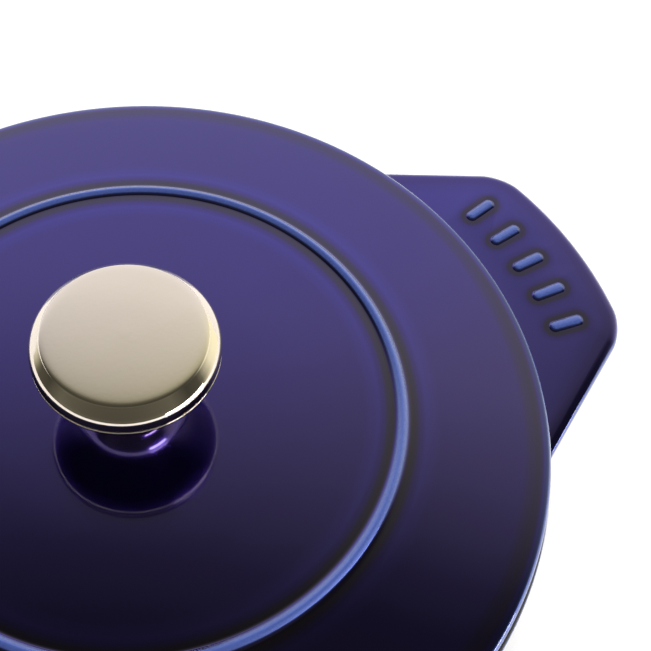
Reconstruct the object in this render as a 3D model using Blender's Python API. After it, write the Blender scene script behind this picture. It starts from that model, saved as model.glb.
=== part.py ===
"""Enamelled cast iron dutch oven: round pot with two tab handles, lift-off lid, screwed-on knob."""

import math

import bmesh
import bpy
from mathutils import Vector

# Turned pieces
SEGMENTS = 72
KNOB_SEGMENTS = 48
HARDWARE_SEGMENTS = 32
FIT_GAP = 0.0003

# Pot
RIM_Z = 0.0920
BASE_R = 0.0620
CORNER_R = 0.0200
INNER_CORNER_R = 0.0160
BASE_T = 0.0040
BAND_R = 0.0908
MOUTH_R = 0.0835

# Lid
LID_R = 0.0900
LID_SEAT_Z = RIM_Z + FIT_GAP
LID_EDGE_Z = 0.0968
LID_CENTRE_Z = 0.1023
LID_UNDER_Z = 0.0975
UNDER_FLAT_R = 0.0120
UNDER_KNEE = (0.0560, 0.0967)
UNDER_EDGE_Z = 0.0941
BEAD_R = 0.0579
BEAD_HALF = 0.0013
BEAD_TOP_Z = 0.1018
SKIRT_OUTER_R = 0.0825
SKIRT_INNER_R = 0.0792
SKIRT_Z = 0.0873
SCREW_HOLE_R = 0.0035

# Basting spikes under the lid: ring radius, count
SPIKE_RINGS = ((0.0220, 6), (0.0420, 12), (0.0640, 18))
SPIKE_R = 0.0030
SPIKE_H = 0.0032
SPIKE_SIDES = 8

# Handles
HANDLE_TOP_Z = 0.08805
HANDLE_BOTTOM_Z = 0.07855
HANDLE_RISE = 0.100
HANDLE_RISE_X = 0.0880
HANDLE_ROOT_R = 0.0850
HANDLE_SIDE_OFFSET = 0.0803
HANDLE_SIDE_TILT = math.radians(30.9)
HANDLE_ARC_X = 0.01865
HANDLE_ARC_R = 0.0978
HANDLE_CORNER_R = 0.0138
# Edge rounding of the handle: inset from the outline, drop from the face
EDGE_STEPS = ((0.0024, 0.0), (0.0010, 0.0004), (0.0003, 0.0012), (0.0, 0.0024))

# Raised grip ribs on each handle
RIB_COUNT = 5
RIB_PITCH = math.radians(5.2)
RIB_ARC_R = 0.1034
RIB_LENGTH = 0.0076
RIB_WIDTH = 0.0024
RIB_H = 0.0007
RIB_SINK = 0.0008

# Knob, screw and washers
KNOB_R = 0.0194
KNOB_FOOT_Z = LID_CENTRE_Z + FIT_GAP
KNOB_SEAM_Z = 0.1213
SPIGOT_R = 0.0150
SPIGOT_H = 0.0020
INSERT_R = 0.0048
INSERT_BORE_R = 0.0033
INSERT_Z = (0.1029, 0.1172)
SHAFT_R = 0.0030
SHAFT_TOP_Z = 0.1156
FLAT_WASHER = (0.0075, 0.0034, 0.0960, 0.0972)
SPRING_WASHER = (0.0052, 0.0034, 0.0942, 0.0957)
SPRING_SPLIT = 0.0009
HEAD_R = 0.0056
HEAD_Z = (0.0907, 0.0939)
SLOT_W = 0.0013
SLOT_DEPTH = 0.0013

MATERIALS = {
    "enamel": ((0.020, 0.018, 0.100, 1.0), 0.0, 0.12),
    "nickel": ((0.72, 0.66, 0.58, 1.0), 1.0, 0.10),
    "brass": ((0.78, 0.60, 0.28, 1.0), 1.0, 0.35),
    "steel": ((0.60, 0.60, 0.61, 1.0), 1.0, 0.35),
}


def clear_scene():
    for obj in list(bpy.data.objects):
        bpy.data.objects.remove(obj, do_unlink=True)
    for mesh in list(bpy.data.meshes):
        bpy.data.meshes.remove(mesh)


def material(piece, kind):
    colour, metallic, rough = MATERIALS[kind]
    mat = bpy.data.materials.new(piece + "_mat")
    mat.use_nodes = True
    shader = mat.node_tree.nodes["Principled BSDF"]
    shader.inputs["Base Color"].default_value = colour
    shader.inputs["Metallic"].default_value = metallic
    shader.inputs["Roughness"].default_value = rough
    return mat


def finish(bm, name, kind=None):
    """Turn a bmesh into a named object, faces out."""
    bmesh.ops.recalc_face_normals(bm, faces=bm.faces)
    if bm.calc_volume(signed=True) < 0:
        bmesh.ops.reverse_faces(bm, faces=bm.faces)
    mesh = bpy.data.meshes.new(name)
    bm.to_mesh(mesh)
    bm.free()
    obj = bpy.data.objects.new(name, mesh)
    bpy.context.scene.collection.objects.link(obj)
    if kind:
        mesh.materials.append(material(name, kind))
    return obj


def lathe(profile, segments, closed):
    """Revolve (radius, height) points about Z. An open profile starts and ends on the axis."""
    bm = bmesh.new()
    rings = []
    for r, z in profile:
        if r == 0.0:
            rings.append([bm.verts.new((0.0, 0.0, z))])
            continue
        rings.append([
            bm.verts.new((r * math.cos(a), r * math.sin(a), z))
            for a in (2 * math.pi * i / segments for i in range(segments))
        ])
    pairs = list(zip(rings, rings[1:]))
    if closed:
        pairs.append((rings[-1], rings[0]))
    for low, high in pairs:
        for i in range(segments):
            j = (i + 1) % segments
            if len(low) == 1:
                bm.faces.new((low[0], high[j], high[i]))
            elif len(high) == 1:
                bm.faces.new((low[i], low[j], high[0]))
            else:
                bm.faces.new((low[i], low[j], high[j], high[i]))
    return bm


def arc(cx, cz, radius, start_deg, end_deg, steps):
    """Points on a circle in the profile plane, both ends included."""
    out = []
    for i in range(steps + 1):
        a = math.radians(start_deg + (end_deg - start_deg) * i / steps)
        out.append((cx + radius * math.cos(a), cz + radius * math.sin(a)))
    return out


def apply_boolean(target, cutter, operation):
    mod = target.modifiers.new("cut", "BOOLEAN")
    mod.operation = operation
    mod.solver = "EXACT"
    mod.object = cutter
    bpy.context.view_layer.update()
    graph = bpy.context.evaluated_depsgraph_get()
    result = bpy.data.meshes.new_from_object(target.evaluated_get(graph))
    target.modifiers.clear()
    old = target.data
    mats = list(old.materials)
    target.data = result
    result.materials.clear()
    for mat in mats:
        result.materials.append(mat)
    result.polygons.foreach_set("material_index", [0] * len(result.polygons))
    bpy.data.meshes.remove(old)
    bpy.data.objects.remove(cutter, do_unlink=True)


def side_outline(inset):
    """Handle outline for y > 0, from the root to the middle of the outer arc, moved inwards."""
    sn, cs = math.sin(HANDLE_SIDE_TILT), math.cos(HANDLE_SIDE_TILT)
    reach = HANDLE_ARC_R - HANDLE_CORNER_R
    offset = HANDLE_SIDE_OFFSET - HANDLE_CORNER_R
    # Corner centre: on the inset side line and on a circle about the arc centre
    along = HANDLE_ARC_X * sn
    half = math.sqrt(reach ** 2 - (offset - along) ** 2)
    foot = (HANDLE_ARC_X + (offset - along) * sn, (offset - along) * cs)
    cx, cy = foot[0] + half * cs, foot[1] - half * sn
    radius = HANDLE_CORNER_R - inset
    line_d = HANDLE_SIDE_OFFSET - inset
    root_half = math.sqrt(HANDLE_ROOT_R ** 2 - line_d ** 2)
    start = (line_d * sn + root_half * cs, line_d * cs - root_half * sn)
    points = [start]
    a0 = math.pi / 2 - HANDLE_SIDE_TILT
    a1 = math.atan2(cy, cx - HANDLE_ARC_X)
    for i in range(6):
        a = a0 + (a1 - a0) * i / 5
        points.append((cx + radius * math.cos(a), cy + radius * math.sin(a)))
    outer = HANDLE_ARC_R - inset
    for i in range(1, 7):
        a = a1 * (1 - i / 6)
        points.append((HANDLE_ARC_X + outer * math.cos(a), outer * math.sin(a)))
    return points


def handle_ring(inset):
    """Closed plan outline of one handle, its inner edge buried in the pot wall."""
    upper = side_outline(inset)
    lower = [(x, -y) for x, y in reversed(upper[:-1])]
    a0 = math.atan2(-upper[0][1], upper[0][0])
    root = []
    for i in range(1, 8):
        a = a0 * (1 - i / 4)
        root.append((HANDLE_ROOT_R * math.cos(a), HANDLE_ROOT_R * math.sin(a)))
    return upper + lower + root


def handle_lift(x):
    """How far the handle has risen at x, above its height at the rim."""
    return HANDLE_RISE * (abs(x) - HANDLE_RISE_X)


def handle_mesh(side):
    """One tab handle, pointing along +X for side 1 and -X for side -1."""
    bm = bmesh.new()
    levels = [(inset, HANDLE_TOP_Z - drop) for inset, drop in EDGE_STEPS]
    levels += [(inset, HANDLE_BOTTOM_Z + drop) for inset, drop in reversed(EDGE_STEPS)]
    rings = []
    for inset, z in levels:
        rings.append([bm.verts.new((side * x, side * y, z + handle_lift(x)))
                      for x, y in handle_ring(inset)])
    count = len(rings[0])
    for low, high in zip(rings, rings[1:]):
        for i in range(count):
            j = (i + 1) % count
            bm.faces.new((low[i], low[j], high[j], high[i]))
    bm.faces.new(rings[0])
    bm.faces.new(list(reversed(rings[-1])))
    return finish(bm, "handle_tool")


def rib_mesh(side):
    """Five raised grip ribs, standing on the top face of one handle."""
    bm = bmesh.new()
    half_w = RIB_WIDTH / 2
    half_l = RIB_LENGTH / 2 - half_w
    outline = [(half_l + half_w * math.cos(a), half_w * math.sin(a))
               for a in (math.radians(d) for d in range(-90, 91, 30))]
    outline += [(-x, -y) for x, y in outline]
    for k in range(RIB_COUNT):
        a = RIB_PITCH * (k - (RIB_COUNT - 1) / 2)
        out = Vector((math.cos(a), math.sin(a), 0.0)) * side
        across = Vector((-out.y, out.x, 0.0))
        rings = []
        for scale, z in ((1.0, -RIB_SINK), (1.0, RIB_H * 0.4), (0.62, RIB_H)):
            ring = []
            for x, y in outline:
                p = out * (RIB_ARC_R + x - math.copysign(half_w * (1 - scale), x))
                p = p + across * (y * scale)
                ring.append(bm.verts.new((p.x, p.y, HANDLE_TOP_Z + handle_lift(p.x) + z)))
            rings.append(ring)
        n = len(outline)
        for low, high in zip(rings, rings[1:]):
            for i in range(n):
                j = (i + 1) % n
                bm.faces.new((low[i], low[j], high[j], high[i]))
        bm.faces.new(rings[-1])
        bm.faces.new(list(reversed(rings[0])))
    return finish(bm, "rib_tool")


def build_pot():
    outer = [(0.0, 0.0)] + arc(BASE_R, CORNER_R, CORNER_R, -90, 0, 6)
    outer += [(0.0846, 0.0500), (0.0866, 0.0780), (0.0868, 0.0836), (0.0888, 0.0862)]
    outer += [(BAND_R, 0.0876), (BAND_R, RIM_Z - 0.0010), (BAND_R - 0.0010, RIM_Z)]
    inner = [(MOUTH_R + 0.0008, RIM_Z), (MOUTH_R, RIM_Z - 0.0008), (0.0832, 0.0830)]
    inner += [(0.0811, 0.0500)]
    inner += list(reversed(arc(BASE_R + 0.0005, INNER_CORNER_R + BASE_T, INNER_CORNER_R, -90, 0, 5)))
    profile = outer + inner + [(0.0, BASE_T)]
    pot = finish(lathe(profile, SEGMENTS, False), "pot_body", "enamel")
    for side in (1, -1):
        apply_boolean(pot, handle_mesh(side), "UNION")
        apply_boolean(pot, rib_mesh(side), "UNION")
    return pot


def spike_mesh():
    bm = bmesh.new()
    for radius, count in SPIKE_RINGS:
        for k in range(count):
            a = 2 * math.pi * (k + 0.5) / count
            centre = Vector((radius * math.cos(a), radius * math.sin(a), 0.0))
            under = lid_under_z(radius)
            top = [bm.verts.new(centre + Vector((
                SPIKE_R * math.cos(b), SPIKE_R * math.sin(b), under + 0.0012)))
                for b in (2 * math.pi * i / SPIKE_SIDES for i in range(SPIKE_SIDES))]
            tip = bm.verts.new(centre + Vector((0.0, 0.0, under - SPIKE_H)))
            bm.faces.new(top)
            for i in range(SPIKE_SIDES):
                bm.faces.new((top[(i + 1) % SPIKE_SIDES], top[i], tip))
    return finish(bm, "spike_tool")


def lid_under_z(radius):
    """Height of the lid's underside at a radius."""
    stations = ((UNDER_FLAT_R, LID_UNDER_Z), UNDER_KNEE, (SKIRT_INNER_R, UNDER_EDGE_Z))
    for (r0, z0), (r1, z1) in zip(stations, stations[1:]):
        if radius <= r1:
            return z0 + (z1 - z0) * (radius - r0) / (r1 - r0)
    return UNDER_EDGE_Z


def build_lid():
    edge = LID_EDGE_Z
    top = [(LID_R - 0.0008, LID_SEAT_Z), (LID_R, LID_SEAT_Z + 0.0008), (LID_R, edge - 0.0014)]
    top += [(LID_R - 0.0004, edge - 0.0005), (LID_R - 0.0014, edge), (0.0860, 0.09735)]
    top += [(0.0740, 0.0991), (0.0602, 0.1006), (BEAD_R + BEAD_HALF, 0.1009)]
    top += [(BEAD_R + 0.0009, 0.1015), (BEAD_R, BEAD_TOP_Z), (BEAD_R - 0.0009, 0.1015)]
    top += [(BEAD_R - BEAD_HALF, 0.1010), (0.0556, 0.1009), (0.0420, 0.1015)]
    top += [(0.0300, 0.1019), (0.0150, 0.1022), (0.0080, LID_CENTRE_Z), (SCREW_HOLE_R, LID_CENTRE_Z)]
    under = [(SCREW_HOLE_R, LID_UNDER_Z), (UNDER_FLAT_R, LID_UNDER_Z), UNDER_KNEE]
    under += [(SKIRT_INNER_R, UNDER_EDGE_Z), (SKIRT_INNER_R + 0.0002, SKIRT_Z + 0.0008)]
    under += [(SKIRT_INNER_R + 0.0008, SKIRT_Z), (SKIRT_OUTER_R - 0.0008, SKIRT_Z)]
    under += [(SKIRT_OUTER_R, SKIRT_Z + 0.0008), (SKIRT_OUTER_R, LID_SEAT_Z)]
    lid = finish(lathe(top + under, SEGMENTS, True), "lid", "enamel")
    apply_boolean(lid, spike_mesh(), "UNION")
    return lid


def build_knob():
    bore = INSERT_R + FIT_GAP
    top_bore = INSERT_Z[1] + FIT_GAP
    base = [(bore, KNOB_FOOT_Z), (0.0080, KNOB_FOOT_Z), (0.0081, 0.1032), (0.0072, 0.1040)]
    base += [(0.0067, 0.1056), (0.0067, 0.1090), (0.0074, 0.1120), (0.0092, 0.1147)]
    base += [(0.0125, 0.1171), (0.0161, 0.1188), (0.0185, 0.1199), (KNOB_R, 0.1207)]
    base += [(KNOB_R, KNOB_SEAM_Z), (SPIGOT_R, KNOB_SEAM_Z), (SPIGOT_R, KNOB_SEAM_Z + SPIGOT_H)]
    profile = [(0.0, KNOB_SEAM_Z + SPIGOT_H)] + list(reversed(base))
    profile += [(bore, top_bore), (0.0, top_bore)]
    finish(lathe(profile, KNOB_SEGMENTS, False), "knob_base", "nickel")

    low = KNOB_SEAM_Z + FIT_GAP
    recess = SPIGOT_R + FIT_GAP
    cap = [(0.0, KNOB_SEAM_Z + SPIGOT_H + FIT_GAP), (recess, KNOB_SEAM_Z + SPIGOT_H + FIT_GAP)]
    cap += [(recess, low), (KNOB_R, low), (KNOB_R, 0.1221), (0.0190, 0.1238)]
    cap += [(0.01865, 0.1249), (0.01835, 0.1257), (0.0180, 0.1263), (0.0174, 0.1266)]
    cap += [(0.0150, 0.1268), (0.0080, 0.1270), (0.0, 0.12705)]
    finish(lathe(cap, KNOB_SEGMENTS, False), "knob_cap", "nickel")

    insert = [(INSERT_BORE_R, INSERT_Z[0]), (INSERT_R, INSERT_Z[0])]
    insert += [(INSERT_R, INSERT_Z[1]), (INSERT_BORE_R, INSERT_Z[1])]
    finish(lathe(insert, HARDWARE_SEGMENTS, True), "knob_insert", "brass")


def build_hardware():
    outer, inner, low, high = FLAT_WASHER
    ring = [(inner, low), (outer, low), (outer, high), (inner, high)]
    finish(lathe(ring, HARDWARE_SEGMENTS, True), "flat_washer", "steel")

    outer, inner, low, high = SPRING_WASHER
    ring = [(inner, low), (outer, low), (outer, high), (inner, high)]
    spring = finish(lathe(ring, HARDWARE_SEGMENTS, True), "spring_washer", "steel")
    apply_boolean(spring, box((outer / 2 + inner / 2, 0.0, (low + high) / 2),
                              (outer, SPRING_SPLIT, 2 * (high - low))), "DIFFERENCE")

    low, high = HEAD_Z
    screw = [(0.0, low), (HEAD_R - 0.0020, low + 0.0002), (HEAD_R - 0.0007, low + 0.0009)]
    screw += [(HEAD_R, low + 0.0020), (HEAD_R, high), (SHAFT_R, high)]
    screw += [(SHAFT_R, SHAFT_TOP_Z - 0.0008), (SHAFT_R - 0.0008, SHAFT_TOP_Z), (0.0, SHAFT_TOP_Z)]
    body = finish(lathe(screw, HARDWARE_SEGMENTS, False), "knob_screw", "steel")
    apply_boolean(body, box((0.0, 0.0, low), (4 * HEAD_R, SLOT_W, 2 * SLOT_DEPTH)), "DIFFERENCE")


def box(centre, size):
    bm = bmesh.new()
    bmesh.ops.create_cube(bm, size=1.0)
    for vert in bm.verts:
        vert.co = Vector(centre) + Vector([c * s for c, s in zip(vert.co, size)])
    return finish(bm, "box_tool")


clear_scene()
build_pot()
build_lid()
build_knob()
build_hardware()
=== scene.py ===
"""Enamelled cast iron dutch oven: pot with tab handles, lid and polished knob.

Lengths are in metres and heights are over the pot's base, unless a name says mm.
"""

import math
import bmesh
import bpy
from bpy.props import (FloatProperty, FloatVectorProperty, IntProperty,
                       PointerProperty)
from mathutils import Matrix, Vector


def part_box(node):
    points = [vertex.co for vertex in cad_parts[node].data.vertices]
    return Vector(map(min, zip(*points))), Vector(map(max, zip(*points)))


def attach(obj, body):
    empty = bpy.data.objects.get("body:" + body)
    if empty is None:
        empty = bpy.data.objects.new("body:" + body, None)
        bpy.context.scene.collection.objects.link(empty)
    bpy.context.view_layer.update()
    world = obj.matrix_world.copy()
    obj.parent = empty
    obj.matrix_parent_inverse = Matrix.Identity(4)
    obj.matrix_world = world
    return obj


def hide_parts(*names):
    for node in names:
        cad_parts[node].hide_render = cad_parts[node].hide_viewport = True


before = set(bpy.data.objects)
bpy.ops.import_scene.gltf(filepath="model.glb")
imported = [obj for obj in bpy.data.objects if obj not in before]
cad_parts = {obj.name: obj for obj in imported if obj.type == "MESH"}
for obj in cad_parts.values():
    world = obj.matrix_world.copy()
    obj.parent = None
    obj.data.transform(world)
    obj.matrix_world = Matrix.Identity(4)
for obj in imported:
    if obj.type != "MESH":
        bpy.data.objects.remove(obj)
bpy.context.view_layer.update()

bl_info = {
    "name": "Cast iron dutch oven",
    "version": (1, 0, 0),
    "blender": (4, 5, 0),
    "location": "View3D > Sidebar > Dutch oven",
    "description": "Models an enamelled cocotte around its CAD frame",
    "category": "Object",
}

LID_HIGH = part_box("lid")[1]
POT_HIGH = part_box("pot_body")[1]
KNOB_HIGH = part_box("knob_cap")[1]
MM = 0.001


# ---------------------------------------------------------------- settings

class CastingSettings(bpy.types.PropertyGroup):
    """Sizes of the two castings"""

    lid_radius: FloatProperty(
        name="Lid radius", description="Radius of the lid's outer edge",
        default=LID_HIGH.x, min=0.05, max=0.2, unit="LENGTH")
    bead_radius: FloatProperty(
        name="Bead radius", description="Radius of the raised ring on the lid",
        default=0.0579, min=0.02, max=0.15, unit="LENGTH")
    bead_height: FloatProperty(
        name="Bead height", description="Height of the raised ring over the lid",
        default=0.0010, min=0.0, max=0.004, unit="LENGTH")
    pot_height: FloatProperty(
        name="Pot height", description="Height of the pot's rim over its base",
        default=POT_HIGH.z, min=0.03, max=0.3, unit="LENGTH")
    turned_steps: IntProperty(
        name="Steps round", description="Faces round each turned piece",
        default=288, min=48, max=512)


class EnamelSettings(bpy.types.PropertyGroup):
    """Colours of the glass enamel"""

    flat: FloatVectorProperty(
        name="Enamel", description="Colour of the enamel on open surfaces",
        subtype="COLOR", default=(0.030, 0.016, 0.190), min=0.0, max=1.0)
    # On the handle tops this colour is painted light: a lighter copy of the lid's enamel,
    # standing in for the brighter light the handle tops catch.
    halo_and_handle_light: FloatVectorProperty(
        name="Halo", description="Lighter colour where the enamel starts to thin",
        subtype="COLOR", default=(0.036, 0.024, 0.260), min=0.0, max=1.0)
    thin: FloatVectorProperty(
        name="Thin enamel", description="Colour on crests and edges, where enamel is thin",
        subtype="COLOR", default=(0.070, 0.115, 0.420), min=0.0, max=1.0)
    pooled: FloatVectorProperty(
        name="Pooled enamel", description="Colour in hollows, where enamel is thick",
        subtype="COLOR", default=(0.024, 0.018, 0.030), min=0.0, max=1.0)
    lining: FloatVectorProperty(
        name="Lining", description="Colour of the matt enamel inside",
        subtype="COLOR", default=(0.013, 0.013, 0.014), min=0.0, max=1.0)


class MetalSettings(bpy.types.PropertyGroup):
    """Colours of the metals"""

    nickel: FloatVectorProperty(
        name="Nickel", description="Colour of the knob's polished plate",
        subtype="COLOR", default=(0.800, 0.712, 0.645), min=0.0, max=1.0)
    steel: FloatVectorProperty(
        name="Steel", description="Colour of the screw and washers",
        subtype="COLOR", default=(0.580, 0.580, 0.590), min=0.0, max=1.0)
    brass: FloatVectorProperty(
        name="Brass", description="Colour of the threaded insert",
        subtype="COLOR", default=(0.780, 0.560, 0.240), min=0.0, max=1.0)


class StageSettings(bpy.types.PropertyGroup):
    """Floor and lights"""

    floor: FloatVectorProperty(
        name="Floor", description="Colour of the floor",
        subtype="COLOR", default=(0.90, 0.90, 0.90), min=0.0, max=1.0)
    floor_light: FloatProperty(
        name="Floor light", description="Strength of the overhead light that whitens the floor",
        default=3.4, min=0.0, max=20.0)
    right_light: FloatProperty(
        name="Right light", description="Power of the low light at the front right",
        default=6.5, min=0.0, max=500.0, unit="POWER")


# ---------------------------------------------------------------- modelling

def deselect_all():
    if bpy.context.object and bpy.context.object.mode != "OBJECT":
        bpy.ops.object.mode_set(mode="OBJECT")
    bpy.ops.object.select_all(action="DESELECT")


def make_active(obj):
    deselect_all()
    obj.select_set(True)
    bpy.context.view_layer.objects.active = obj


def edit(obj):
    make_active(obj)
    bpy.ops.object.mode_set(mode="EDIT")


def end_edit():
    bpy.ops.object.mode_set(mode="OBJECT")


def pick(obj, kind, test):
    """In edit mode, select the verts, edges or faces for which test is true."""
    bpy.ops.mesh.select_mode(type=kind[:-1].upper() if kind != "verts" else "VERT")
    bpy.ops.mesh.select_all(action="DESELECT")
    bm = bmesh.from_edit_mesh(obj.data)
    chosen = [item for item in getattr(bm, kind) if test(item)]
    for item in chosen:
        item.select_set(True)
    bm.select_flush_mode()
    bmesh.update_edit_mesh(obj.data)
    return len(chosen)


def smooth_run(points, steps):
    """Points on a smooth curve through the given (radius, height) points."""
    out = []
    ends = [points[0]] + list(points) + [points[-1]]
    for a, b, c, d in zip(ends, ends[1:], ends[2:], ends[3:]):
        for i in range(steps):
            t = i / steps
            out.append(tuple(
                0.5 * (2 * q + (r - p) * t + (2 * p - 5 * q + 4 * r - s) * t * t
                       + (3 * q - p - 3 * r + s) * t ** 3)
                for p, q, r, s in zip(a, b, c, d)))
    out.append(tuple(points[-1]))
    return out


def draw_line(name, points, closed=False):
    """A chain of vertices, extruded one after the other from a primitive."""
    deselect_all()
    bpy.ops.mesh.primitive_plane_add(size=MM, location=(0, 0, 0))
    obj = bpy.context.object
    obj.name = obj.data.name = name
    bpy.ops.object.mode_set(mode="EDIT")
    bpy.ops.mesh.select_mode(type="VERT")
    bpy.ops.mesh.select_all(action="SELECT")
    bpy.ops.mesh.merge(type="CENTER")
    last = Vector(points[0])
    bpy.ops.transform.translate(value=last)
    for point in points[1:]:
        step = Vector(point) - last
        bpy.ops.mesh.extrude_vertices_move(TRANSFORM_OT_translate={"value": step})
        last = Vector(point)
    if closed:
        first = Vector(points[0])
        pick(obj, "verts", lambda v: min((v.co - first).length, (v.co - last).length) < 1e-7)
        bpy.ops.mesh.edge_face_add()
    return obj


def turned(name, profile, steps, closed=False, rounds=()):
    """A turned piece. rounds lists (radius, height, bevel width) of corners to round."""
    obj = draw_line(name, [(r, 0.0, z) for r, z in profile], closed)
    for r, z, width in rounds:
        corner = Vector((r, 0.0, z))
        if not pick(obj, "verts", lambda v: (v.co - corner).length < 1e-6):
            raise RuntimeError(f"{name}: no corner at {r}, {z}")
        bpy.ops.mesh.bevel(affect="VERTICES", offset=width, segments=5)
    bpy.ops.mesh.select_all(action="SELECT")
    bpy.ops.mesh.spin(steps=steps, angle=math.tau, center=(0, 0, 0), axis=(0, 0, 1))
    bpy.ops.mesh.select_all(action="SELECT")
    bpy.ops.mesh.remove_doubles(threshold=2e-6)
    bpy.ops.mesh.normals_make_consistent(inside=False)
    end_edit()
    return obj


def apply_modifier(obj, kind, **values):
    make_active(obj)
    mod = obj.modifiers.new(kind.lower(), kind)
    for key, value in values.items():
        setattr(mod, key, value)
    bpy.ops.object.modifier_apply(modifier=mod.name)


def join_solid(obj, tool, operation="UNION"):
    """Merge or cut with another solid, and drop that solid."""
    apply_modifier(obj, "BOOLEAN", object=tool, operation=operation, solver="EXACT")
    old = tool.data
    bpy.data.objects.remove(tool, do_unlink=True)
    bpy.data.meshes.remove(old)


def join_objects(objs):
    make_active(objs[0])
    for obj in objs[1:]:
        obj.select_set(True)
    bpy.ops.object.join()
    return objs[0]


def copy_turned(obj, angle, name):
    """A copy with its own mesh, turned about the pot's axis."""
    twin = obj.copy()
    twin.data = obj.data.copy()
    twin.name = twin.data.name = name
    bpy.context.scene.collection.objects.link(twin)
    twin.data.transform(Matrix.Rotation(angle, 4, "Z"))
    return twin


def settle(obj, material, body, nodes, angle=35):
    """Give a finished piece its material, shading and place in the frame."""
    make_active(obj)
    bpy.ops.object.transform_apply(location=True, rotation=True, scale=True)
    bpy.ops.object.shade_smooth_by_angle(angle=math.radians(angle))
    obj.data.materials.clear()
    obj.data.materials.append(material)
    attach(obj, body)
    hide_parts(*nodes)


def mark_lining(obj, inside):
    """Store where the matt lining is, face by face, as an attribute."""
    layer = obj.data.attributes.new("lining", "FLOAT", "CORNER")
    values = [0.0] * len(obj.data.loops)
    for face in obj.data.polygons:
        if inside(face.center, face.normal):
            for k in face.loop_indices:
                values[k] = 1.0
    layer.data.foreach_set("value", values)


# ---------------------------------------------------------------- shader maths

class Wire:
    """A shader socket that takes part in Python expressions."""

    def __init__(self, paint, socket):
        self.paint, self.socket = paint, socket

    def _op(self, operation, other, swap=False):
        pair = (other, self) if swap else (self, other)
        return self.paint.maths(operation, *pair)

    def __add__(self, other):
        return self._op("ADD", other)

    __radd__ = __add__

    def __sub__(self, other):
        return self._op("SUBTRACT", other)

    def __rsub__(self, other):
        return self._op("SUBTRACT", other, swap=True)

    def __mul__(self, other):
        return self._op("MULTIPLY", other)

    __rmul__ = __mul__

    def __truediv__(self, other):
        return self._op("DIVIDE", other)

    def __abs__(self):
        return self.paint.maths("ABSOLUTE", self)


class Paint:
    """Builds the nodes of one material, or of the studio's surroundings."""

    def __init__(self, holder, shader, output):
        holder.use_nodes = True
        self.holder = holder
        self.tree = holder.node_tree
        self.tree.nodes.clear()
        self.shader = self.tree.nodes.new("ShaderNode" + shader)
        end = self.tree.nodes.new("ShaderNodeOutput" + output)
        self.tree.links.new(self.shader.outputs[0], end.inputs["Surface"])

    @classmethod
    def material(cls, name):
        return cls(bpy.data.materials.new(name), "BsdfPrincipled", "Material")

    def node(self, kind, settings=None, **inputs):
        """Any node: its settings first, then the values or links of its sockets."""
        made = self.tree.nodes.new("ShaderNode" + kind)
        for key, value in (settings or {}).items():
            if key == "stops":
                self._stops(made.color_ramp, value)
            elif "." in key:
                holder, name = key.split(".")
                setattr(getattr(made, holder), name, value)
            else:
                setattr(made, key, value)
        for key, value in inputs.items():
            index = int(key[1:]) if key[0] == "i" and key[1:].isdigit() else key.replace("_", " ")
            self.feed(made.inputs[index], value)
        return made

    def _stops(self, ramp, stops):
        while len(ramp.elements) < len(stops):
            ramp.elements.new(0.5)
        for element, (place, colour) in zip(ramp.elements, stops):
            element.position = place
            if isinstance(colour, float):
                colour = (colour, colour, colour)
            element.color = (*colour, 1.0)

    def feed(self, socket, value):
        if isinstance(value, Wire):
            self.tree.links.new(value.socket, socket)
        elif hasattr(value, "__len__") and len(socket.default_value) == 4 and len(value) == 3:
            socket.default_value = (*value, 1.0)
        else:
            socket.default_value = value

    def wire(self, node, output=0):
        return Wire(self, node.outputs[output])

    def maths(self, operation, *values):
        inputs = {f"i{i}": v for i, v in enumerate(values)}
        return self.wire(self.node("Math", {"operation": operation}, **inputs))

    def least(self, a, b):
        return self.maths("MINIMUM", a, b)

    def most(self, a, b):
        return self.maths("MAXIMUM", a, b)

    def span(self, value, low, high, out_low=0.0, out_high=1.0):
        """Smoothly carry value from low..high to out_low..out_high, clamped."""
        return self.wire(self.node(
            "MapRange", {"interpolation_type": "SMOOTHSTEP"},
            Value=value, From_Min=low, From_Max=high, To_Min=out_low, To_Max=out_high))

    def mix(self, share, a, b):
        """Blend two colours."""
        made = self.node("Mix", {"data_type": "RGBA"}, i0=share, i6=a, i7=b)
        return self.wire(made, 2)

    def blend(self, share, a, b):
        """Blend two numbers."""
        return share * (b - a) + a

    def ramp(self, value, stops, interpolation="EASE"):
        made = self.node("ValToRGB", {"color_ramp.interpolation": interpolation, "stops": stops},
                         i0=value)
        return self.wire(made)

    def place(self):
        """Object coordinates, as a vector and as x, y and z."""
        coords = self.wire(self.node("TexCoord"), "Object")
        parts = self.node("SeparateXYZ", Vector=coords)
        return coords, self.wire(parts, 0), self.wire(parts, 1), self.wire(parts, 2)

    def noise(self, coords, scale, detail=2.0, roughness=0.5):
        made = self.node("TexNoise", Vector=coords, Scale=scale, Detail=detail,
                         Roughness=roughness)
        return self.wire(made)

    def facing(self, direction, axis):
        """How far a direction points along an axis."""
        made = self.node("VectorMath", {"operation": "DOT_PRODUCT"}, i0=direction, i1=axis)
        return self.wire(made, "Value")

    def attribute(self, name):
        return self.wire(self.node("Attribute", {"attribute_name": name}), "Fac")

    def bump(self, height, strength, distance):
        made = self.node("Bump", Height=height, Strength=strength, Distance=distance)
        return self.wire(made)

    def surface(self, **inputs):
        for key, value in inputs.items():
            self.feed(self.shader.inputs[key.replace("_", " ")], value)
        return self.holder


# Glaze thickness runs from 0, thin over a crest, to 1, pooled in a hollow
# The lighter level between deep and flat is also laid over each whole handle top, where it is
# painted light: brighter than the lid's same enamel, standing in for the light the handle tops
# catch.
GLAZE_THIN, GLAZE_DEEP, GLAZE_HALO_AND_HANDLE_LIGHT, GLAZE_FLAT, GLAZE_POOLED = 0.0, 0.25, 0.40, 0.60, 1.0


def glaze_by_distance(paint, distance, stops, reach):
    """Glaze thickness from a distance in metres, by stops in millimetres."""
    scaled = distance / (reach * MM)
    return paint.ramp(scaled, [(d / reach, float(g)) for d, g in stops])


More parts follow.
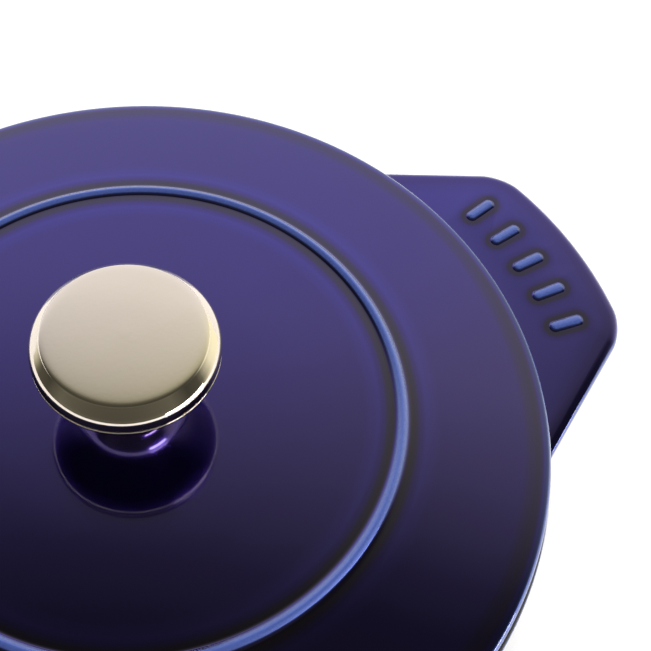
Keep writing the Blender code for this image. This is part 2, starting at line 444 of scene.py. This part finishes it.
def enamel(paint, glaze, coords, lining):
    """The glass enamel: blue and glossy, and matt black where lining is 1."""
    colours = bpy.context.scene.dutch_enamel
    grain = paint.noise(coords, 2600.0, 3.0, 0.6)
    drift = paint.noise(coords, 45.0, 2.0)
    thinness = paint.span(glaze, 0.02, 0.24, 1.0, 0.0)
    speckled = glaze + (grain - 0.5) * (thinness * 0.30 + 0.02) + (drift - 0.5) * 0.06
    body = paint.ramp(speckled, [
        (GLAZE_THIN, tuple(colours.thin)),
        (0.10, tuple(0.7 * c for c in colours.thin)),
        (GLAZE_DEEP, (0.020, 0.026, 0.200)),
        (GLAZE_HALO_AND_HANDLE_LIGHT, tuple(colours.halo_and_handle_light)),
        (GLAZE_FLAT, tuple(colours.flat)),
        (GLAZE_POOLED, tuple(colours.pooled)),
    ], "LINEAR")
    pits = paint.noise(coords, 1500.0, 4.0, 0.65)
    ripple = paint.noise(coords, 95.0, 1.0)
    coarse = lining * pits * 0.6 + (1 - lining) * (ripple * 0.10 + thinness * grain * 0.25)
    glassy = paint.blend(thinness, 0.16, 0.40)
    return paint.surface(
        Base_Color=paint.mix(lining, body, tuple(colours.lining)),
        Metallic=(1 - lining) * (1 - thinness * 0.65),
        Roughness=paint.blend(lining, glassy, 0.58),
        Coat_Weight=1 - lining,
        Coat_Roughness=0.03,
        Coat_IOR=1.5,
        Normal=paint.bump(coarse, 0.35, 0.0004),
    )


def lid_material():
    castings = bpy.context.scene.dutch_castings
    paint = Paint.material("blue enamel on lid")
    coords, x, y, z = paint.place()
    radius = paint.maths("SQRT", x * x + y * y)
    to_bead = abs(radius - castings.bead_radius)
    bead = glaze_by_distance(paint, to_bead, [
        (0.0, GLAZE_THIN), (0.75, 0.04), (1.15, 0.20), (1.5, 0.78), (2.1, 0.95),
        (3.0, 0.88), (4.0, 0.62), (5.2, GLAZE_HALO_AND_HANDLE_LIGHT + 0.03), (6.5, 0.50), (8.5, GLAZE_FLAT)], 8.5)
    to_edge = castings.lid_radius - radius
    edge = glaze_by_distance(paint, paint.most(to_edge, 0.0), [
        (0.0, 0.06), (0.5, 0.10), (0.9, 0.22), (1.4, GLAZE_DEEP), (1.8, 0.55), (2.3, 0.80),
        (3.2, 0.84), (4.2, 0.78), (6.5, GLAZE_FLAT)], 6.5)
    glaze = paint.blend(paint.span(to_edge, 0.006, 0.012), edge, bead)
    return enamel(paint, glaze, coords, paint.attribute("lining"))


# ---------------------------------------------------------------- pot and handle plan

MOUTH_R, BAND_R = 0.0835, 0.0908
HEEL_X, HEEL_R = 0.0620, 0.0200
BASE_T = 0.0040
# Each side of a handle lies on a line: its distance from the axis and its slant
SIDE_OFFSET, SIDE_TILT = 0.0803, math.radians(30.9)
# The handle's end is an arc about a point on the X axis
ARC_X, ARC_R = 0.01865, 0.0978
CORNER_R = 0.0138
HANDLE_ROOT_R, HANDLE_ROOT_HALF = 0.0925, 0.0390
HANDLE_TOP, HANDLE_BOTTOM = 0.08805, 0.07855
HANDLE_ROUNDING = 0.0024
# The handle climbs by this much for each metre beyond RISE_X
HANDLE_RISE, RISE_X = 0.100, 0.0880
RIB_ARC, RIB_PITCH, RIB_COUNT = 0.1034, math.radians(5.2), 5
RIB_LENGTH, RIB_WIDTH = 0.0076, 0.0024
RIB_SUNK = 0.0008


def corner_point():
    """Where the handle's side line meets its outer arc, before rounding."""
    along = ARC_X * math.sin(SIDE_TILT)
    half = math.sqrt(ARC_R ** 2 - (SIDE_OFFSET - along) ** 2)
    gap = SIDE_OFFSET - along
    return (ARC_X + gap * math.sin(SIDE_TILT) + half * math.cos(SIDE_TILT),
            gap * math.cos(SIDE_TILT) - half * math.sin(SIDE_TILT))


def side_point(radius):
    """Where the handle's side line crosses a circle about the pot's axis."""
    half = math.sqrt(radius ** 2 - SIDE_OFFSET ** 2)
    return (SIDE_OFFSET * math.sin(SIDE_TILT) + half * math.cos(SIDE_TILT),
            SIDE_OFFSET * math.cos(SIDE_TILT) - half * math.sin(SIDE_TILT))


def pot_material():
    castings = bpy.context.scene.dutch_castings
    paint = Paint.material("blue enamel on pot")
    coords, x, y, z = paint.place()
    along, across = abs(x), abs(y)
    level = z - (along - RISE_X) * HANDLE_RISE
    radius = paint.maths("SQRT", x * x + y * y)
    side_gap = SIDE_OFFSET - (along * math.sin(SIDE_TILT) + across * math.cos(SIDE_TILT))
    from_arc = along - ARC_X
    arc_gap = ARC_R - paint.maths("SQRT", from_arc * from_arc + y * y)
    outline_gap = paint.wire(paint.node(
        "Math", {"operation": "SMOOTH_MIN"}, i0=side_gap, i1=arc_gap, i2=0.004))
    # Away from its outline and its ribs the handle top takes the lighter level, which is painted
    # light there, not thinner enamel.
    border = glaze_by_distance(paint, paint.most(outline_gap + 0.0004, 0.0), [
        (0.0, 0.10), (0.7, 0.14), (1.2, GLAZE_DEEP), (1.7, 0.50), (2.3, 0.62), (3.6, 0.60),
        (5.5, 0.48), (8.0, GLAZE_HALO_AND_HANDLE_LIGHT), (12.0, GLAZE_HALO_AND_HANDLE_LIGHT)], 12.0)
    # Distance to the nearest grip rib, in the handle's polar coordinates
    bearing = paint.maths("ARCTAN2", y, along)
    index = paint.least(paint.most(
        paint.maths("ROUND", bearing / RIB_PITCH), -(RIB_COUNT // 2)), RIB_COUNT // 2)
    sideways = abs(bearing - index * RIB_PITCH) * RIB_ARC
    endways = paint.most(abs(radius - RIB_ARC) - (RIB_LENGTH - RIB_WIDTH) / 2, 0.0)
    rib_gap = paint.maths("SQRT", sideways * sideways + endways * endways)
    rib = glaze_by_distance(paint, rib_gap, [
        (0.0, 0.0), (0.75, 0.03), (1.25, GLAZE_DEEP - 0.05), (1.7, 0.9), (2.4, 0.9),
        (3.4, 0.56), (4.6, GLAZE_HALO_AND_HANDLE_LIGHT), (7.0, GLAZE_HALO_AND_HANDLE_LIGHT)], 7.0)
    # The handle top's glaze, whose open parts carry painted light as a brighter blue than the
    # lid's.
    top = paint.blend(paint.span(rib_gap, 0.0020, 0.0060), rib, border)
    on_handle = paint.span(radius, BAND_R - 0.0002, BAND_R + 0.0012) * paint.span(
        level, HANDLE_TOP - 0.0024, HANDLE_TOP - 0.0008)
    # Thin over the rim band's corner, pooled under the band
    rim = glaze_by_distance(paint, paint.most(castings.pot_height - z, 0.0), [
        (0.0, 0.10), (0.9, 0.16), (1.8, 0.50), (4.0, 0.66), (6.0, 0.90),
        (9.0, 0.74), (14.0, GLAZE_FLAT)], 14.0)
    handle_side = glaze_by_distance(paint, abs(level - (HANDLE_TOP + HANDLE_BOTTOM) / 2), [
        (0.0, GLAZE_FLAT), (2.4, 0.45), (3.6, 0.14), (5.0, 0.20)], 5.0)
    off_wall = paint.span(radius, HANDLE_ROOT_R, HANDLE_ROOT_R + 0.0020)
    wall = paint.blend(off_wall, rim, handle_side)
    glaze = paint.blend(on_handle, wall, top)
    return enamel(paint, glaze, coords, paint.attribute("lining"))


def metal(name, colour, roughness, grain_scale, grain_depth, stretch=(1.0, 1.0, 1.0)):
    """Bare or plated metal with fine wear in its polish."""
    paint = Paint.material(name)
    coords = paint.place()[0]
    stretched = paint.wire(paint.node("Mapping", Vector=coords, Scale=stretch))
    grain = paint.noise(stretched, grain_scale, 3.0, 0.6)
    cloud = paint.noise(coords, 60.0, 2.0)
    tone = paint.mix(cloud, tuple(0.94 * c for c in colour), tuple(colour))
    return paint.surface(
        Base_Color=tone,
        Metallic=1.0,
        Roughness=roughness + (grain - 0.5) * roughness * 0.6,
        Normal=paint.bump(grain, grain_depth, 0.0002),
    )


# ---------------------------------------------------------------- pieces

def crown(radius):
    """Height of the lid's top, without the bead, at a radius."""
    stations = ((0.0, 102.3), (8, 102.3), (15, 102.2), (30, 101.9), (42, 101.48),
                (52, 101.05), (57.9, 100.8), (64, 100.2), (74, 99.0), (82, 97.95), (90, 96.8))
    mm = radius / MM
    for (r0, z0), (r1, z1) in zip(stations, stations[1:]):
        if mm <= r1:
            return (z0 + (z1 - z0) * (mm - r0) / (r1 - r0)) * MM
    return stations[-1][1] * MM


LID_SEAT_Z, RING_LOW_Z = 0.0923, 0.0873
RING_OUT_R, RING_IN_R = 0.0825, 0.0792
LID_HOLE_R = 0.0035


def lid_profile():
    """Half section of the lid, from the hole out over the top and back underneath."""
    castings = bpy.context.scene.dutch_castings
    bead, height, edge = castings.bead_radius, castings.bead_height, castings.lid_radius
    half = 0.0017  # half the bead's width
    dome = smooth_run([(0.0080, 0.1023), (0.0150, 0.1022), (0.0300, 0.1019), (0.0420, 0.10148),
                       (0.0520, 0.10105), (bead - half, crown(bead - half))], 5)
    ring = []
    for i in range(1, 15):
        t = -half + 2 * half * i / 15
        lift = height * math.cos(math.pi * t / (2 * half)) ** 2
        ring.append((bead + t, crown(bead + t) + lift))
    slope = smooth_run([(bead + half, crown(bead + half)), (0.0640, 0.1002), (0.0740, 0.0990),
                        (0.0820, 0.09795), (0.0862, 0.0973), (edge - 0.0013, 0.0968),
                        (edge - 0.0004, 0.0963), (edge, 0.0955)], 5)
    top = [(LID_HOLE_R, 0.1023)] + dome + ring + slope
    under = [(edge, LID_SEAT_Z), (RING_OUT_R, LID_SEAT_Z), (RING_OUT_R, RING_LOW_Z),
             (RING_IN_R, RING_LOW_Z)]
    belly = smooth_run([(RING_IN_R, 0.0941), (0.0700, 0.0952), (0.0560, 0.0967),
                        (0.0300, 0.0973), (0.0120, 0.0975)], 4)
    return top + under + belly + [(LID_HOLE_R, 0.0975)]


SPIKE_RINGS = ((0.0220, 6), (0.0420, 12), (0.0640, 18))
SPIKE_SUNK = 0.0011


def under_height(radius):
    """Height of the lid's underside at a radius."""
    stations = ((0.0120, 0.0975), (0.0560, 0.0967), (0.0792, 0.0941))
    for (r0, z0), (r1, z1) in zip(stations, stations[1:]):
        if radius <= r1:
            return z0 + (z1 - z0) * (radius - r0) / (r1 - r0)
    return 0.0941


def basting_spikes():
    """Blunt cones cast under the lid, which the steam runs down and drips from."""
    deselect_all()
    bpy.ops.mesh.primitive_cone_add(
        vertices=20, radius1=0.0028, radius2=0.0008, depth=0.0042,
        end_fill_type="NGON", location=(0, 0, 0), rotation=(math.pi, 0, 0))
    spike = bpy.context.object
    bpy.ops.object.transform_apply(location=True, rotation=True, scale=True)
    edit(spike)
    pick(spike, "faces", lambda f: f.normal.z < -0.9)
    bpy.ops.mesh.bevel(offset=0.0005, segments=3)
    end_edit()
    spikes = []
    for radius, count in SPIKE_RINGS:
        for k in range(count):
            twin = spike.copy()
            twin.data = spike.data.copy()
            bpy.context.scene.collection.objects.link(twin)
            angle = math.tau * (k + 0.5) / count
            twin.data.transform(Matrix.Translation((
                radius * math.cos(angle), radius * math.sin(angle),
                under_height(radius) - SPIKE_SUNK)))
            spikes.append(twin)
    old = spike.data
    bpy.data.objects.remove(spike, do_unlink=True)
    bpy.data.meshes.remove(old)
    return join_objects(spikes)


def build_lid():
    castings = bpy.context.scene.dutch_castings
    edge = castings.lid_radius
    lid = turned("lid_casting", lid_profile(), castings.turned_steps + 72, closed=True, rounds=[
        (edge, LID_SEAT_Z, 0.0006), (RING_OUT_R, RING_LOW_Z, 0.0007),
        (RING_IN_R, RING_LOW_Z, 0.0007), (RING_OUT_R, LID_SEAT_Z, 0.0004)])
    join_solid(lid, basting_spikes())
    mark_lining(lid, lambda c, n: n.z < -0.3 or (
        c.z < crown(c.xy.length) - 0.0012 and c.xy.length < edge - 0.0004))
    settle(lid, lid_material(), "lid_assembly", ["lid"])
    return lid


def handle_solid():
    """One tab handle along +X, flared where it grows out of the wall."""
    wall_r = HANDLE_ROOT_R
    corner, root = corner_point(), side_point(wall_r)
    half_turn = math.asin(corner[1] / ARC_R)
    cut = CORNER_R * math.tan((math.pi / 2 - SIDE_TILT - half_turn) / 2)
    half_arc = half_turn - 1.08 * cut / ARC_R
    outline = [root, corner]
    for i in range(25):
        angle = half_arc * (1 - i / 12)
        outline.append((ARC_X + ARC_R * math.cos(angle), ARC_R * math.sin(angle)))
    outline += [(corner[0], -corner[1]), (root[0], -root[1])]
    spread = math.atan2(root[1], root[0])
    for i in range(1, 24):
        angle = -spread * (1 - i / 12)
        outline.append((wall_r * math.cos(angle), wall_r * math.sin(angle)))
    handle = draw_line("handle", [(x, y, HANDLE_BOTTOM) for x, y in outline], closed=True)
    for sign in (1, -1):
        spot = Vector((corner[0], sign * corner[1], HANDLE_BOTTOM))
        pick(handle, "verts", lambda v: (v.co - spot).length < 1e-6)
        bpy.ops.mesh.bevel(affect="VERTICES", segments=14, offset=cut)
    bpy.ops.mesh.select_all(action="SELECT")
    bpy.ops.mesh.edge_face_add()
    bpy.ops.mesh.extrude_region_move(
        TRANSFORM_OT_translate={"value": (0, 0, HANDLE_TOP - HANDLE_BOTTOM)})
    bpy.ops.mesh.select_all(action="SELECT")
    bpy.ops.mesh.normals_make_consistent(inside=False)
    # Round the free edges, above and below
    pick(handle, "edges", lambda e: all(
        v.co.xy.length > wall_r - 1e-5 for v in e.verts) and abs(
        e.verts[0].co.z - e.verts[1].co.z) < 1e-6 and not all(
        v.co.xy.length < wall_r + 1e-5 for v in e.verts))
    bpy.ops.mesh.bevel(offset=HANDLE_ROUNDING, segments=6, profile=0.5, loop_slide=False)
    # Carry the inner end into the wall in flaring steps
    middle = Vector((0, 0, (HANDLE_TOP + HANDLE_BOTTOM) / 2))
    pick(handle, "faces", lambda f: f.normal.xy.length > 0.9 and all(
        v.co.xy.length < wall_r + 2e-4 for v in f.verts))
    reach, fillet, steps = wall_r, 0.0036, 6
    lift = 0.0
    half = (HANDLE_TOP - HANDLE_BOTTOM) / 2
    for i in range(1, steps + 1):
        t = i / steps
        new_reach = wall_r - fillet * t
        new_lift = fillet * (1 - math.sqrt(1 - t * t)) * 0.8
        bpy.ops.mesh.extrude_region_move(TRANSFORM_OT_translate={"value": (0, 0, 0)})
        shrink = new_reach / reach
        flare = (half + new_lift) / (half + lift)
        widen = (HANDLE_ROOT_HALF + new_lift) / (HANDLE_ROOT_HALF + lift)
        bpy.ops.transform.resize(value=(shrink, shrink * widen, flare), center_override=middle)
        reach, lift = new_reach, new_lift
    bpy.ops.mesh.extrude_region_move(TRANSFORM_OT_translate={"value": (0, 0, 0)})
    bpy.ops.transform.resize(value=(0.0850 / reach, 0.0850 / reach, 1.0), center_override=middle)
    end_edit()
    return handle


def rib_solid():
    """One raised grip rib along +X, rounded over and flared at its foot."""
    deselect_all()
    bpy.ops.mesh.primitive_circle_add(
        vertices=24, radius=RIB_WIDTH / 2, fill_type="NGON",
        location=(RIB_ARC, 0, HANDLE_TOP - RIB_SUNK))
    rib = bpy.context.object
    bpy.ops.object.transform_apply(location=True, rotation=True, scale=True)
    edit(rib)
    stretch = (RIB_LENGTH - RIB_WIDTH) / 2
    for sign in (1, -1):
        pick(rib, "verts", lambda v: sign * (v.co.x - RIB_ARC) > 1e-6)
        bpy.ops.transform.translate(value=(sign * stretch, 0, 0))
    bpy.ops.mesh.select_all(action="SELECT")
    centre = Vector((RIB_ARC, 0, HANDLE_TOP))
    height, width = -RIB_SUNK, 1.0
    for rise, share in ((-0.0004, 1.30), (0.00005, 1.24), (0.00016, 1.06), (0.00034, 0.94),
                        (0.00050, 0.80), (0.00062, 0.60), (0.00069, 0.34), (0.00070, 0.12)):
        bpy.ops.mesh.extrude_region_move(
            TRANSFORM_OT_translate={"value": (0, 0, rise - height)})
        wide = RIB_WIDTH * share / (RIB_WIDTH * width)
        long = (RIB_LENGTH - RIB_WIDTH * (1 - share)) / (RIB_LENGTH - RIB_WIDTH * (1 - width))
        bpy.ops.transform.resize(value=(long, wide, 1.0), center_override=centre)
        height, width = rise, share
    bpy.ops.mesh.select_all(action="SELECT")
    bpy.ops.mesh.normals_make_consistent(inside=False)
    end_edit()
    return rib


def pot_profile():
    height = bpy.context.scene.dutch_castings.pot_height
    heel = [(HEEL_X + HEEL_R * math.sin(a), HEEL_R - HEEL_R * math.cos(a))
            for a in (math.radians(6 * i) for i in range(16))]
    wall = smooth_run([heel[-1], (0.0832, 0.0340), (0.0846, 0.0500), (0.0857, 0.0660),
                       (0.0866, 0.0780), (0.0868, 0.0836)], 4)[1:]
    band = smooth_run([(0.0868, 0.0836), (0.0874, 0.0850), (0.0888, 0.0863), (0.0902, 0.0872),
                       (BAND_R, 0.0884)], 4)[1:]
    outer = [(0.0, 0.0), (0.0300, 0.0)] + heel + wall + band + [(BAND_R, height)]
    bowl = [(0.0625 + 0.0160 * math.sin(a), 0.0200 - 0.0160 * math.cos(a))
            for a in (math.radians(6 * i) for i in range(15, -1, -1))]
    inner = smooth_run([(MOUTH_R, height - 0.0012), (0.0832, 0.0830), (0.0824, 0.0660),
                        (0.0811, 0.0500), (0.0797, 0.0340), bowl[0]], 4)
    return outer + [(MOUTH_R, height)] + inner + bowl[1:] + [(0.0300, BASE_T), (0.0, BASE_T)]


def build_pot():
    castings = bpy.context.scene.dutch_castings
    height = castings.pot_height
    pot = turned("pot_casting", pot_profile(), castings.turned_steps, rounds=[
        (BAND_R, height, 0.0011), (MOUTH_R, height, 0.0008)])
    handle = handle_solid()
    rib = rib_solid()
    parts = [copy_turned(rib, RIB_PITCH * (k - RIB_COUNT // 2), f"rib {k}")
             for k in range(RIB_COUNT)]
    bpy.data.objects.remove(rib, do_unlink=True)
    join_solid(handle, join_objects(parts))
    handle.data.transform(Matrix((
        (1, 0, 0, 0), (0, 1, 0, 0), (HANDLE_RISE, 0, 1, -HANDLE_RISE * RISE_X), (0, 0, 0, 1))))
    twin = copy_turned(handle, math.pi, "handle_left")
    join_solid(pot, handle)
    join_solid(pot, twin)
    mark_lining(pot, lambda c, n: (n.z > 0.7 and c.z > height - 0.0006) or (
        c.z > 0.003 and c.xy.length < 0.0838 and (
            c.z > 0.08 or n.x * c.x + n.y * c.y < 0 or n.z > 0.5)))
    settle(pot, pot_material(), "pot", ["pot_body"])
    return pot


def build_knob():
    metals = bpy.context.scene.dutch_metals
    nickel = metal("polished nickel", metals.nickel, 0.055, 900.0, 0.02)
    seam, foot, ring = 0.1213, 0.1026, KNOB_HIGH.x
    base_curve = smooth_run([(0.0072, 0.1040), (0.0067, 0.1056), (0.0066, 0.1090),
                             (0.0074, 0.1120), (0.0092, 0.1147), (0.0125, 0.1171),
                             (0.0161, 0.1188), (0.0185, 0.1199), (ring - 0.0001, 0.1206)], 5)
    base = [(0.0, 0.1175), (0.0051, 0.1175), (0.0051, foot), (0.0080, foot), (0.0081, 0.1031)]
    base += base_curve + [(ring, 0.1209), (ring, seam), (0.0150, seam),
                          (0.0150, seam + 0.0020), (0.0, seam + 0.0020)]
    lower = turned("knob_base_shell", base, 192, rounds=[
        (0.0081, 0.1031, 0.0003), (ring, seam, 0.0002), (0.0150, seam + 0.0020, 0.0004)])
    settle(lower, nickel, "knob", ["knob_base"])

    low = seam + 0.0003
    cap = [(0.0, seam + 0.0023), (0.0153, seam + 0.0023), (0.0153, low), (ring, low)]
    cap += smooth_run([(ring, 0.1230), (0.0192, 0.1239), (0.0187, 0.12475), (0.0179, 0.1256),
                       (0.0171, 0.12635), (0.0165, 0.12672), (0.0140, 0.12688),
                       (0.0080, 0.12700), (0.0, KNOB_HIGH.z)], 6)
    upper = turned("knob_cap_shell", cap, 192, rounds=[(ring, low, 0.0002)])
    settle(upper, nickel, "knob", ["knob_cap"])
    return lower, upper


def build_hardware():
    metals = bpy.context.scene.dutch_metals
    brass = metal("turned brass", metals.brass, 0.30, 1400.0, 0.10, (1.0, 1.0, 6.0))
    steel = metal("stainless steel", metals.steel, 0.32, 1200.0, 0.12, (1.0, 1.0, 4.0))

    insert = turned("threaded_insert", [
        (0.0033, 0.1029), (0.0048, 0.1029), (0.0048, 0.1172), (0.0033, 0.1172)], 96,
        closed=True, rounds=[(0.0048, 0.1029, 0.0003), (0.0048, 0.1172, 0.0003)])
    settle(insert, brass, "knob", ["knob_insert"])

    washer = turned("washer_flat", [
        (0.0034, 0.0960), (0.0075, 0.0960), (0.0075, 0.0972), (0.0034, 0.0972)], 96,
        closed=True, rounds=[(0.0075, 0.0960, 0.00025), (0.0075, 0.0972, 0.00025)])
    settle(washer, steel, "lid_assembly", ["flat_washer"])

    spring = turned("washer_spring", [
        (0.0034, 0.0942), (0.0052, 0.0942), (0.0052, 0.0957), (0.0034, 0.0957)], 96,
        closed=True, rounds=[(0.0052, 0.0942, 0.0002), (0.0052, 0.0957, 0.0002)])
    deselect_all()
    bpy.ops.mesh.primitive_cube_add(
        size=1.0, location=(0.0043, 0.0, 0.09495), rotation=(math.radians(25), 0, 0),
        scale=(0.0050, 0.0009, 0.0050))
    cutter = bpy.context.object
    join_solid(spring, cutter, "DIFFERENCE")
    settle(spring, steel, "screw", ["spring_washer"])

    head_low, head_high, top = 0.0907, 0.0939, 0.1156
    dome = smooth_run([(0.0, head_low), (0.0020, head_low + 0.0001), (0.0036, head_low + 0.0004),
                       (0.0049, head_low + 0.0012), (0.0055, head_low + 0.0023),
                       (0.0056, head_high - 0.0003)], 4)
    shank = [(0.0056, head_high), (0.0030, head_high)]
    thread_low, thread_high, pitch, depth = 0.1032, 0.1150, 0.0010, 0.0003
    z = thread_low
    shank.append((0.0030, z))
    while z + pitch < thread_high:
        shank += [(0.0030 - depth, z + pitch / 2), (0.0030, z + pitch)]
        z += pitch
    shank += [(0.0030, top - 0.0007), (0.0023, top), (0.0, top)]
    screw = turned("screw_turned", dome + shank, 96)
    deselect_all()
    bpy.ops.mesh.primitive_cube_add(
        size=1.0, location=(0.0, 0.0, head_low), scale=(0.0200, 0.0013, 0.0026))
    join_solid(screw, bpy.context.object, "DIFFERENCE")
    settle(screw, steel, "screw", ["knob_screw"])
    return insert, washer, spring, screw


# ---------------------------------------------------------------- stage

# The camera's place, the way it looks, and how far its frame is shifted
EYE = Vector((-0.042707, -0.132080, 0.337908))
SIGHT = Vector((0.24564, 0.51269, -0.82270))
LENS, SHIFT_X, SHIFT_Y = 70.617, 0.16492, -0.04127
# Directions along which the surroundings brighten, and along which they lose their warm tint
BRIGHT_WAY = (0.539, 0.770, -0.342)
NEUTRAL_WAY = (0.171, 0.970, 0.174)


def soft_light(name, place, target, width, height, power, tint):
    deselect_all()
    bpy.ops.object.light_add(type="AREA", location=place)
    lamp = bpy.context.object
    lamp.name = name
    lamp.rotation_mode = "QUATERNION"
    lamp.rotation_quaternion = (Vector(target) - Vector(place)).to_track_quat("-Z", "Y")
    lamp.data.shape = "RECTANGLE"
    lamp.data.size, lamp.data.size_y = width, height
    lamp.data.energy = power
    lamp.data.color = tint
    return lamp


def floor_sun(strength):
    """Even light from above for the floor, which glossy surfaces don't mirror."""
    deselect_all()
    bpy.ops.object.light_add(type="SUN", location=(0, 0, 1.5))
    sun = bpy.context.object
    sun.name = "floor_sun"
    sun.data.energy = strength
    sun.data.angle = math.radians(30)
    sun.visible_glossy = False
    return sun


def build_stage():
    settings = bpy.context.scene.dutch_stage
    deselect_all()
    bpy.ops.mesh.primitive_plane_add(size=8.0, location=(0, 0, 0))
    floor = bpy.context.object
    floor.name = "floor"
    paint = Paint.material("pale floor")
    coords = paint.place()[0]
    fleck = paint.noise(coords, 40.0, 2.0)
    tone = tuple(settings.floor)
    floor.data.materials.append(paint.surface(
        Base_Color=paint.mix(fleck, tuple(0.985 * c for c in tone), tone),
        Roughness=0.85))
    lights = [
        floor_sun(settings.floor_light),
        soft_light("right_softbox", (0.62, -0.92, 0.12), (0, 0, 0.11), 0.90, 0.14,
                   settings.right_light, (1.0, 0.99, 0.97)),
    ]
    build_sky()
    camera = build_camera()
    bpy.context.scene.view_settings.view_transform = "Standard"


def build_camera():
    deselect_all()
    bpy.ops.object.camera_add(location=EYE)
    camera = bpy.context.object
    camera.name = "camera"
    right = SIGHT.cross(Vector((0, 0, 1))).normalized()
    up = right.cross(SIGHT).normalized()
    camera.rotation_mode = "QUATERNION"
    turn = Matrix((right, up, -SIGHT.normalized())).transposed()
    camera.rotation_quaternion = turn.to_quaternion()
    camera.data.lens = LENS
    camera.data.sensor_width = 36.0
    camera.data.shift_x, camera.data.shift_y = SHIFT_X, SHIFT_Y
    camera.data.clip_start, camera.data.clip_end = 0.01, 20.0
    bpy.context.scene.camera = camera
    return camera


def build_sky():
    """The studio's surroundings: white behind the pot, dark in front of it."""
    world = bpy.data.worlds.new("studio")
    bpy.context.scene.world = world
    paint = Paint(world, "Background", "World")
    heading = paint.wire(paint.node("TexCoord"), "Generated")
    height = paint.wire(paint.node("SeparateXYZ", Vector=heading), 2)
    level = paint.ramp(paint.facing(heading, BRIGHT_WAY) * 0.5 + 0.5, [
        (0.0, 0.09), (0.20, 0.14), (0.33, 0.06), (0.45, 0.08), (0.49, 0.16), (0.567, 0.56),
        (0.643, 0.93), (0.72, 1.02), (1.0, 1.10)], "LINEAR")
    warmth = paint.ramp(paint.facing(heading, NEUTRAL_WAY), [
        (0.0, (1.0, 0.98, 0.72)), (0.45, (1.0, 0.985, 0.68)), (0.56, (1.0, 0.985, 0.74)),
        (0.64, (1.0, 0.985, 0.86)), (0.70, (1.0, 0.99, 0.94)), (0.80, (1.0, 0.99, 0.98)),
        (1.0, (1.0, 1.0, 1.0))], "LINEAR")
    low_glow = paint.span(height, 0.0, 0.45, 1.25, 1.02)
    paint.feed(paint.shader.inputs["Color"], warmth)
    paint.feed(paint.shader.inputs["Strength"], level * low_glow)


# ---------------------------------------------------------------- operators

class DUTCH_OT_pot(bpy.types.Operator):
    """Model the pot casting with its two tab handles"""

    bl_idname = "dutch.pot"
    bl_label = "Pot"

    def execute(self, context):
        build_pot()
        return {"FINISHED"}


class DUTCH_OT_lid(bpy.types.Operator):
    """Model the lid casting with its bead and basting spikes"""

    bl_idname = "dutch.lid"
    bl_label = "Lid"

    def execute(self, context):
        build_lid()
        return {"FINISHED"}


class DUTCH_OT_knob(bpy.types.Operator):
    """Model the two shells of the knob"""

    bl_idname = "dutch.knob"
    bl_label = "Knob"

    def execute(self, context):
        build_knob()
        return {"FINISHED"}


class DUTCH_OT_hardware(bpy.types.Operator):
    """Model the threaded insert, the screw and its washers"""

    bl_idname = "dutch.hardware"
    bl_label = "Screw and washers"

    def execute(self, context):
        build_hardware()
        return {"FINISHED"}


class DUTCH_OT_stage(bpy.types.Operator):
    """Add the floor, the lights and the camera"""

    bl_idname = "dutch.stage"
    bl_label = "Stage"

    def execute(self, context):
        build_stage()
        return {"FINISHED"}


STEPS = (DUTCH_OT_pot, DUTCH_OT_lid, DUTCH_OT_knob, DUTCH_OT_hardware, DUTCH_OT_stage)
GROUPS = (("dutch_castings", CastingSettings), ("dutch_enamel", EnamelSettings),
          ("dutch_metals", MetalSettings), ("dutch_stage", StageSettings))


class DUTCH_PT_panel(bpy.types.Panel):
    """Steps and settings of the dutch oven"""

    bl_idname = "DUTCH_PT_panel"
    bl_label = "Dutch oven"
    bl_space_type = "VIEW_3D"
    bl_region_type = "UI"
    bl_category = "Dutch oven"

    def draw(self, context):
        for step in STEPS:
            self.layout.operator(step.bl_idname)
        for name, group in GROUPS:
            box = self.layout.box()
            settings = getattr(context.scene, name)
            for prop in group.__annotations__:
                box.prop(settings, prop)


def register():
    for cls in (*[group for _, group in GROUPS], *STEPS, DUTCH_PT_panel):
        bpy.utils.register_class(cls)
    for name, group in GROUPS:
        setattr(bpy.types.Scene, name, PointerProperty(type=group))


def unregister():
    for name, _ in GROUPS:
        delattr(bpy.types.Scene, name)
    for cls in (DUTCH_PT_panel, *reversed(STEPS), *[group for _, group in reversed(GROUPS)]):
        bpy.utils.unregister_class(cls)


def main():
    register()
    for step in STEPS:
        area, name = step.bl_idname.split(".")
        getattr(getattr(bpy.ops, area), name)()


if __name__ == "__main__":
    main()
